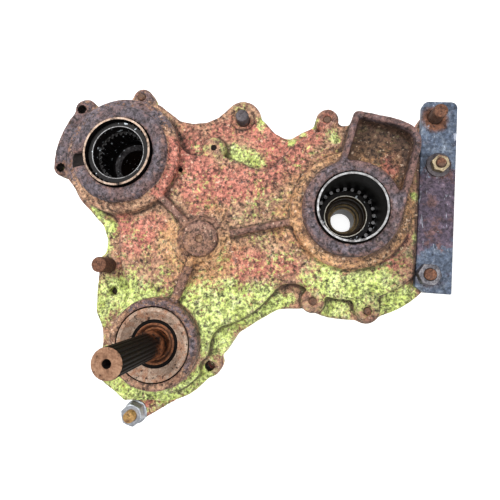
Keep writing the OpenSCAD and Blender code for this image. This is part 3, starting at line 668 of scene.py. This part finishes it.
RED_PATCHES = [
    (-20, 132, 24, 0.88), (-5, 102, 27, 0.99), (-12, 73, 27, 0.99), (-4, 43, 19, 0.77), (18, 72, 24, 0.88),
    (40, 86, 27, 0.77), (68, 71, 27, 0.66), (97, 85, 30, 0.77), (118, 113, 30, 0.88), (140, 142, 27, 0.88),
    (161, 156, 19, 0.66), (83, 159, 32, 0.88), (111, 143, 22, 0.88), (30, 170, 35, 0.66), (-30, 165, 35, 0.66),
    (-123, 23, 24, 0.77), (-92, 8, 27, 0.88), (-70, 22, 22, 0.77), (-107, -14, 22, 0.66), (55, -29, 24, 0.66),
    (83, -36, 27, 0.77), (118, -36, 24, 0.66), (138, -50, 16, 0.44), (266, -16, 19, 1), (273, 4, 16, 1),
    (252, -36, 19, 0.88), (69, -85, 16, 0.77), (48, -50, 19, 0.55), (199, -43, 14, 0.66), (12, -15, 16, 0.44),
    (-137, -29, 19, 0.55), (182, 177, 16, 0.77), (-43, 133, 16, 0.88), (-42, 103, 16, 1), (-48, -98, 9, 0.99),
    (262, 92, 12, 0.9), (256, 108, 12, 0.7)]
RUST_PATCHES = [
    (-5, -45, 44, 1), (40, -20, 34, 0.8), (-40, -5, 32, 1), (10, 45, 30, 0.8), (122, 38, 22, 1),
    (130, 80, 22, 0.7), (110, 0, 26, 0.5), (235, 110, 40, 1), (-110, -100, 16, 0.5), (225, -30, 24, 0.7),
    (165, -30, 20, 0.6), (-150, 30, 16, 0.6)]


def paint_layout(mesh):
    """Marks where each coat and bare metal lie on the front cover, edges darkened as wear and as painted shade,
    painted shade in creases, recesses and beside the strap, and bores and holes black with oil and painted shade.
    """
    web, points, out = Web(mesh), positions(mesh) / MM, normals(mesh)
    z = points[:, 2]
    r_in, r_thru, r_out, r_idler = (away(points, c) for c in (INPUT, THROUGH, OUTPUT, IDLER))
    bend = ((web.smooth(points, 8, 0.7) - points) * out).sum(1)
    bend = web.smooth(bend, 2, 0.6)
    wide = ((web.smooth(points, 40, 0.8) - points) * out).sum(1)
    on_boss = fade(z, DOME + 3, DOME + 9)
    green = patches(points, GREEN_PATCHES) * (1 - on_boss)
    # Convex edges: darkened as wear and as painted shade along the outlines.
    mark(mesh, "edge", fade(-bend, 0.25, 0.9) * (1 - 0.6 * green))
    # Painted shade on side walls, more on walls facing the lower right, on metal lying below its surroundings, at the
    # dome's foot and in the pocket, darkest towards its top.
    side = fade(out[:, 2], 0.55, 0.1) * (z > DECK - 16)
    lee = side * fade(out[:, 0] - out[:, 1], 0.2, 1.0)
    shadow = fade(sunk(points, 7), 1.0, 6.0) * (z > DECK - 1.5)
    foot = fade(sunk(points, 16), 2.5, 9.0) * (z > DECK - 1.5) * (1 - on_boss)
    in_pocket = fade(points[:, 0], 205, 212) * fade(r_thru, 64, 68) * (z > DOME - 2) * fade(DOME + 22 - z, 0, 6)
    turn = NOTCH_TURN
    outward = (points[:, 0] - INPUT.x) * math.cos(turn) + (points[:, 1] - INPUT.y) * math.sin(turn)
    sideways = (points[:, 1] - INPUT.y) * math.cos(turn) - (points[:, 0] - INPUT.x) * math.sin(turn)
    r_lobe = np.hypot(points[:, 0] - LOBE[0], points[:, 1] - LOBE[1])
    # Painted shade in the edge of the spot face round the lobe bolt, on its lower-right side.
    ring = fade(abs(r_lobe - 17.3), 2.6, 1.0) * (abs(z - DECK) < 4)
    ring *= fade(points[:, 0] - points[:, 1], -150, -110) * 0.9
    # Painted shade lines round the top of the idler boss, its pin hole and its plinth.
    rim = np.exp(-((r_idler - 25.6) / 1.3) ** 2) * fade(z, DOME + 7, DOME + 10) * 0.8
    rim += (np.exp(-((r_idler - 5.5) / 1.2) ** 2) + np.exp(-((r_idler - 43) / 2) ** 2)) * (z > DOME + 1) * 0.5
    foot_end, head_end = STRAP_ENDS
    along = (head_end - foot_end).normalized()
    beside = (points[:, 0] - foot_end.x) * along.y - (points[:, 1] - foot_end.y) * along.x
    # Painted shadow of the strap, in a line beside its long edge.
    strap_shadow = fade(abs(beside + 26), 5, 1.5) * (z > DECK - 2) * 0.75
    notch = (outward > 52) * (outward < 83) * (abs(sideways) < 9.8) * fade(z, 143.5, 142) * (z > DOME + 14)
    # Creases and all the marks above add up to the painted shade mask.
    dark = fade(bend, 0.25, 0.9) * 0.6 + fade(wide, 1.0, 3.2) * 0.45 + shadow * 0.45 + foot * 0.3
    dark += side * 0.3 + lee * 0.3 + ring + rim + strap_shadow
    dark += in_pocket * (0.45 + 0.45 * fade(points[:, 1], 90, 140))
    mark(mesh, "hollow", (1 - 0.4 * green) * dark)
    face = fade(z, DOME + 12, DOME + 20) * fade(r_in, 90, 80)
    upper = fade(points[:, 1] - INPUT.y - (points[:, 0] - INPUT.x) * 0.45, -30, 20)
    face = np.maximum(face, fade(z, DOME + 1, DOME + 10) * fade(r_in, 94, 84) * upper * 0.7)
    face = np.maximum(face, fade(z, DOME + 13, DOME + 19) * fade(r_thru, 150, 130))
    upper_right = fade(points[:, 0] - OUTPUT.x + points[:, 1] - OUTPUT.y, -20, 50)
    face = np.maximum(face, fade(z, DOME + 4, DOME + 12) * fade(r_out, 80, 74) * (0.2 + 0.4 * upper_right))
    lugs = patches(points, [(-200, 207, 26, 0.9), (-227, 152, 40, 0.9), (-205, 178, 26, 0.8), (-230, 118, 20, 0.5),
                            (-101, 224, 22, 0.6), (300, 150, 20, 0.6)])
    face = np.maximum(face, lugs * (z > DECK - 8))
    # Oily black in the bores, and painted shade in the notch, the holes and on faces turned down under the deck.
    inside = np.maximum.reduce([fade(r_in, 52.3, 51.3) * (z < 144.4), fade(r_thru, 49.6, 48.6) * (z < 147.4),
                                fade(r_out, 52.8, 51.8) * (z < 144.4)])
    inside = np.maximum(inside, fade(DECK - 1.5 - z, 0, 2) * fade(out[:, 2], 0.1, -0.5))
    inside = np.maximum(inside, notch)
    for (x, y), radius, mouth in HOLES:
        inside = np.maximum(inside, (np.hypot(points[:, 0] - x, points[:, 1] - y) < radius + 1) * (z < mouth - 0.7))
    mark(mesh, "inside", inside * (z < DOME + 40))
    low_side = fade(points[:, 0] - points[:, 1], 0, 25) * (r_idler > 26)
    clear = fade(r_in, 86, 90) * fade(r_thru, 81, 85) * fade(r_out, 70, 74) * (points[:, 0] < 190)
    mark(mesh, "rib", clear * fade(z, DOME + 1.5, DOME + 5) * np.where(r_idler < 42, 0.75 - 0.65 * low_side, 0.9))
    bare_red = patches(points, [(INPUT.x + 78, INPUT.y + 4, 22, 1), (INPUT.x + 74, INPUT.y - 24, 22, 1),
                                (INPUT.x + 58, INPUT.y - 50, 18, 1)])
    bare_red = bare_red * fade(DOME + 18 - z, 0, 4) * fade(r_in, 70, 73)
    mark(mesh, "face", face * (1 - bare_red))
    flecks = (1 - on_boss) * (0.19 + 0.08 * fade(points[:, 1], 40, -20))
    mark(mesh, "green", np.maximum(green * 0.86, flecks))
    mark(mesh, "red", np.maximum.reduce([patches(points, RED_PATCHES) * (1 - on_boss * 0.8), bare_red, flecks]))
    mark(mesh, "rust", np.maximum(patches(points, RUST_PATCHES), np.exp(-((r_thru - 78) / 12) ** 2) * 0.8))


cover_mesh = cast_copy("cover_casting", "front_cover", 1.9, 5, cover_hold, 190000)
paint_layout(cover_mesh)
show("cover_casting", cover_mesh, "casing", "cast_paint", cast_paint("worn_two_coat_paint", True), "front_cover")
housing_mesh = cast_copy("housing_casting", "rear_housing", 2.8, 7, housing_hold, 140000)
show("housing_casting", housing_mesh, "casing", "cast_back", cast_paint("worn_back_paint", False), "rear_housing")


# ---- output shaft, with its splines ----

def splined(radius, root, teeth):
    def at(angle):
        share = abs((angle * teeth / (2 * math.pi) + 0.5) % 1 - 0.5) * 2
        return radius if share < 0.3 else root if share > 0.74 else radius + (root - radius) * (share - 0.3) / 0.44
    return at


low_end, tip_end = bottom("output_shaft"), top("output_shaft")
spline, run_out = splined(17.45, 15.75, 21), splined(16.6, 15.9, 21)
shaft_rings = [(low_end + 4, 16.5), (low_end + 5, 17.5), (27, 17.5), (27, 22), (58, 22), (58, 21), (102, 21),
               (103, 20), (157, 20), (158.5, 18.6), (159, run_out), (163, spline), (200, spline), (235, spline),
               (tip_end - 4.5, spline), (tip_end - 1.4, splined(17.4, 15.9, 21)),
               (tip_end - 1.0, splined(17.2, 16.2, 21)), (tip_end - 0.6, 17.0), (tip_end - 0.3, 16.8), (tip_end, 16.2),
               (tip_end - 0.1, 9.0), (tip_end, 5.6), (tip_end - 1.2, 4.7), (tip_end - 4, 3.2), (tip_end - 9, 2.2),
               (tip_end - 11, 0.4)]
shaft_mesh = joined("splined_output_shaft", [turned(shaft_rings, OUTPUT, 21 * 12)], 35)
show("splined_output_shaft", shaft_mesh, "output", "shaft_steel", shaft_finish(), "output_shaft")


# ---- strap ----

def bar_outline():
    """Outline of the strap with its round upper corners and cut lower one."""
    (foot, head), side = STRAP_ENDS, 23.5
    along = (head - foot).normalized()
    across, end = Vector((-along.y, along.x)), (head - foot).length
    corners = [((2, 2 - side), 2, 180, 270), ((end - 9, 9 - side), 9, 270, 360), ((end - 9, side - 9), 9, 0, 90),
               ((9, side - 2), 2, 90, 147.5), ((2, side - 13), 2, 147.5, 180)]
    points = []
    for (u, v), r, first, last in corners:
        for k in range(9):
            angle = math.radians(first + (last - first) * k / 8)
            p = foot + along * (u + r * math.cos(angle)) + across * (v + r * math.sin(angle))
            points.append((p.x, p.y))
    return points


def plate(name, outline, holes, low, high, edge):
    """A flat plate with rounded edges and round holes."""
    circles = [[(x + r * math.cos(math.radians(a)), y + r * math.sin(math.radians(a))) for a in range(0, 360, 10)]
               for (x, y), r in holes]
    profile = [(low, edge), (low + edge * 0.3, edge * 0.3), (low + edge, 0), (high - edge, 0),
               (high - edge * 0.3, edge * 0.3), (high, edge)]
    points, faces, caps = [], [], [[], []]
    for number, loop in enumerate([outline] + circles):
        size, first = len(loop), len(points)
        for z, inset in profile:
            for i, (x, y) in enumerate(loop):
                run = Vector(loop[(i + 1) % size]) - Vector(loop[i - 1])
                inward = Vector((-run.y, run.x)).normalized() * (inset if number == 0 else -inset)
                points.append(((x + inward.x) * MM, (y + inward.y) * MM, z * MM))
        for k in range(len(profile) - 1):
            low_ring, high_ring = first + k * size, first + (k + 1) * size
            faces += [(low_ring + i, low_ring + (i + 1) % size, high_ring + (i + 1) % size, high_ring + i)
                      for i in range(size)]
        caps[0].append(list(range(first, first + size)))
        caps[1].append(list(range(first + (len(profile) - 1) * size, first + len(profile) * size)))
    for loops in caps:
        flat = [i for loop in loops for i in loop]
        for face in geometry.tessellate_polygon([[Vector(points[i]) for i in loop] for loop in loops]):
            faces.append(tuple(flat[i] for i in face))
    mesh = bpy.data.meshes.new(name)
    mesh.from_pydata(points, [], faces)
    work = bmesh.new()
    work.from_mesh(mesh)
    bmesh.ops.recalc_face_normals(work, faces=work.faces)
    work.to_mesh(mesh)
    work.free()
    return mesh


strap_mesh = plate("side_bar", bar_outline(), [(p, r + 0.4) for p, r, _ in STRAP_STUDS], DECK, top("side_strap"), 1.2)
show("side_bar", strap_mesh, "casing", "strap_steel", strap_finish(), "side_strap")


# ---- bolts, studs, nuts and washers ----

strap_top = top("side_strap")
stud_forms = [rod(p, r, DECK - 12, strap_top + tip, 2.0, 0.6, 0.3) for p, r, tip in STRAP_STUDS]
show("threaded_strap_studs", joined("threaded_strap_studs", stud_forms), "casing", "rusty_steel", rusty, "strap_studs")
nut_forms = [nut(STRAP_STUDS[1][0], 21, strap_top + 3, 8.5, 6.35, 12),
             nut(STRAP_STUDS[2][0], 27, strap_top, 13.5, 7.95, 24)]
show("strap_hex_nuts", joined("strap_hex_nuts", nut_forms), "casing", "zinc_yellow", zinc_yellow, "strap_nuts")
show("strap_round_washer", joined("strap_round_washer", [washer(STRAP_STUDS[1][0], 16.5, 6.35, strap_top, 3)]),
     "casing", "rusty_steel", bolt_end, "strap_washers")
left_forms = [rod(LEFT_STUD, 11.1, DECK - 12, top("left_stud"), 2.5, 0.55, 0.5)]
show("rusted_left_stud", joined("rusted_left_stud", left_forms), "casing", "rusty_steel", rusty, "left_stud")
bottom_forms = [rod(BOTTOM_STUD, 8.0, bottom("bottom_stud"), top("bottom_stud"), 2.0, 0.7, 0.1)]
show("threaded_bottom_stud", joined("threaded_bottom_stud", bottom_forms), "casing", "zinc_yellow", stud_tan,
     "bottom_stud")
seat = bottom("bottom_washer")
show("bottom_hex_nut", joined("bottom_hex_nut", [nut(BOTTOM_STUD, 28.6, seat + 3.2, 16.4, 8.05, 10)]),
     "casing", "zinc_grey", zinc_grey, "bottom_nut")
show("bottom_round_washer", joined("bottom_round_washer", [washer(BOTTOM_STUD, 17, 8.3, seat, 3.2)]),
     "casing", "zinc_grey", zinc_grey, "bottom_washer")
rear_rim = bottom("cover_bolts")
for name, some, finish in (("threaded_cover_bolts", BOLTS[:4], bolt_brown),
                           ("threaded_lobe_bolt", BOLTS[4:], bolt_end)):
    bolt_forms = []
    for place, radius, tip in some:
        bolt_forms.append(bolt_head(place, 3 * radius, rear_rim, 9, 20))
        bolt_forms.append(rod(place, radius, rear_rim + 8.5, tip, 1.75, 0.55, 0.15, rear_rim + 40))
    show(name, joined(name, bolt_forms), "casing", "rusty_steel", finish, "cover_bolts")


# ---- finishes of the carried-over parts ----

TAN_STEEL = ((0.35, rgb(88, 72, 62)), (0.5, rgb(150, 128, 112)), (0.65, rgb(196, 180, 166)))
GREY_STEEL = ((0.35, rgb(56, 52, 54)), (0.5, rgb(104, 100, 102)), (0.65, rgb(160, 158, 160)))
hub_top = top("input_hub")
# Painted highlights on rims, lips, chamfers, spline ends, step faces and roller ends, and painted glints in the
# splined bore, on the rollers and on the hub.
splined_bore = bored_metal("splined_bore", [
    (INPUT, 33.4, 37.4, hub_top - 19.5, hub_top - 17.2, LIGHT_STEEL, 0.85),
    (INPUT, 37.6, 38.6, hub_top - 1.5, hub_top + 1, LIGHT_STEEL, 0.7),
    (INPUT, 27.5, 34, hub_top - 72, hub_top - 64, GREY_STEEL, 0.9)], 0.12)
ring_face = bored_metal("needle_ring_steel", [(INPUT, 46, 50, 149.6, 152, TAN_STEEL, 1.0)])
sleeve_rim = bored_metal("sleeve_steel", [(THROUGH, 43, 47, 151.4, 154, LIGHT_STEEL, 1.0)])
glinting = bored_metal("roller_steel", [(THROUGH, 38, 43, 81.5, 83, LIGHT_STEEL, 0.55)], 0.12)
hub_steps = bored_metal("hub_steps", [
    (THROUGH, 30.0, 31.5, 79, 82, ((0.35, rgb(150, 144, 130)), (0.6, rgb(236, 232, 220))), 1.0),
    (THROUGH, 24.4, 27.0, 65, 67, ((0.35, rgb(64, 52, 32)), (0.65, rgb(150, 136, 104))), 0.9),
    (THROUGH, 21.4, 24.0, 51, 54, ((0.35, rgb(52, 42, 26)), (0.65, rgb(130, 112, 80))), 0.9),
    (THROUGH, 18.2, 21.0, 41, 45, ((0.35, rgb(60, 48, 30)), (0.65, rgb(140, 120, 88))), 0.9)],
    0.03, ((0.35, rgb(18, 13, 9)), (0.65, rgb(66, 52, 36))))
rusty_pin = worn_metal("rusty_pin", STAIN_TONES, 6, 0.4, RUST_TONES, 0.6, 0.3, 0.2, 0.3, spots=0.6)

KEPT = {
    splined_bore: ["input_hub"],
    ring_face: ["input_needle_ring"],
    sleeve_rim: ["through_sleeve"],
    glinting: ["through_front_rollers", "through_front_inner_race", "through_front_outer_race"],
    hub_steps: ["through_hub"],
    oil_black: ["input_rear_inner_race", "input_needles"],
    rusty_pin: ["idler_pin"],
    race: ["input_rear_outer_race", "input_rear_rollers", "through_rear_outer_race", "through_rear_inner_race",
           "through_rear_rollers", "output_front_outer_race", "output_rear_outer_race", "output_front_inner_race",
           "output_front_rollers", "output_rear_inner_race", "output_rear_rollers", "idler_rollers", "dowel_pins"],
    retainer_rust: ["output_seal_retainer"],
    collar_rust: ["output_collar"],
    seal_black: ["output_oil_seal", "through_rear_seal"],
    fibre: ["case_gasket"],
    rusty: ["drain_plug", "filler_plug", "input_rear_cap"],
    zinc_grey: ["input_cap_screws"],
    bronze: ["idler_thrust_washers"],
    gear_steel: ["input_gear", "idler_gear", "through_gear", "output_gear"],
}
for material, names in KEPT.items():
    for name in names:
        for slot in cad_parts[name].material_slots:
            slot.material = material


# ---- floor, light and camera ----

def floor_finish():
    f = Finish("pale_floor")
    colour = f.tones(f.noise(80, 3), (0.3, rgb(202, 202, 202)), (0.7, rgb(208, 208, 208)))
    f.shader.inputs["Emission Color"].default_value = (1, 1, 1, 1)
    f.shader.inputs["Emission Strength"].default_value = 0.82
    return f.done(colour, 0.9)


floor_mesh = bpy.data.meshes.new("floor")
floor_mesh.from_pydata([(-4, -4, 0), (4, -4, 0), (4, 4, 0), (-4, 4, 0)], [], [(0, 1, 2, 3)])
floor = bpy.data.objects.new("floor", floor_mesh)
bpy.context.scene.collection.objects.link(floor)
floor_mesh.materials.append(floor_finish())

world = bpy.data.worlds.new("studio")
world.use_nodes = True
world.node_tree.nodes["Background"].inputs["Color"].default_value = (1.0, 1.0, 1.0, 1.0)
world.node_tree.nodes["Background"].inputs["Strength"].default_value = 0.45
bpy.context.scene.world = world


def softbox(name, place, aim, size, power):
    data = bpy.data.lights.new(name, "AREA")
    data.shape, data.size, data.energy = "DISK", size, power
    lamp = bpy.data.objects.new(name, data)
    bpy.context.scene.collection.objects.link(lamp)
    lamp.location = place
    lamp.rotation_mode = "QUATERNION"
    lamp.rotation_quaternion = (Vector(aim) - Vector(place)).to_track_quat("-Z", "Y")


softbox("key", (-0.9, 0.9, 1.5), (0.05, 0.0, 0.1), 0.9, 20)
softbox("fill", (1.2, -0.8, 1.3), (0.05, 0.0, 0.1), 1.2, 9)
softbox("over", (0.1, 0.1, 2.0), (0.05, 0.0, 0.1), 1.0, 10)

camera_data = bpy.data.cameras.new("camera")
camera_data.lens, camera_data.sensor_width = 27.72, 36.0
camera_data.clip_start, camera_data.clip_end = 0.02, 20.0
camera = bpy.data.objects.new("camera", camera_data)
bpy.context.scene.collection.objects.link(camera)
camera.location = (0.12725, -0.06361, 0.6562)
camera.rotation_mode = "QUATERNION"
camera.rotation_quaternion = Vector((0, 0, -1)).rotation_difference(Vector((-0.1080, 0.0900, -0.9901)))
bpy.context.scene.camera = camera
bpy.context.scene.view_settings.view_transform = "Standard"
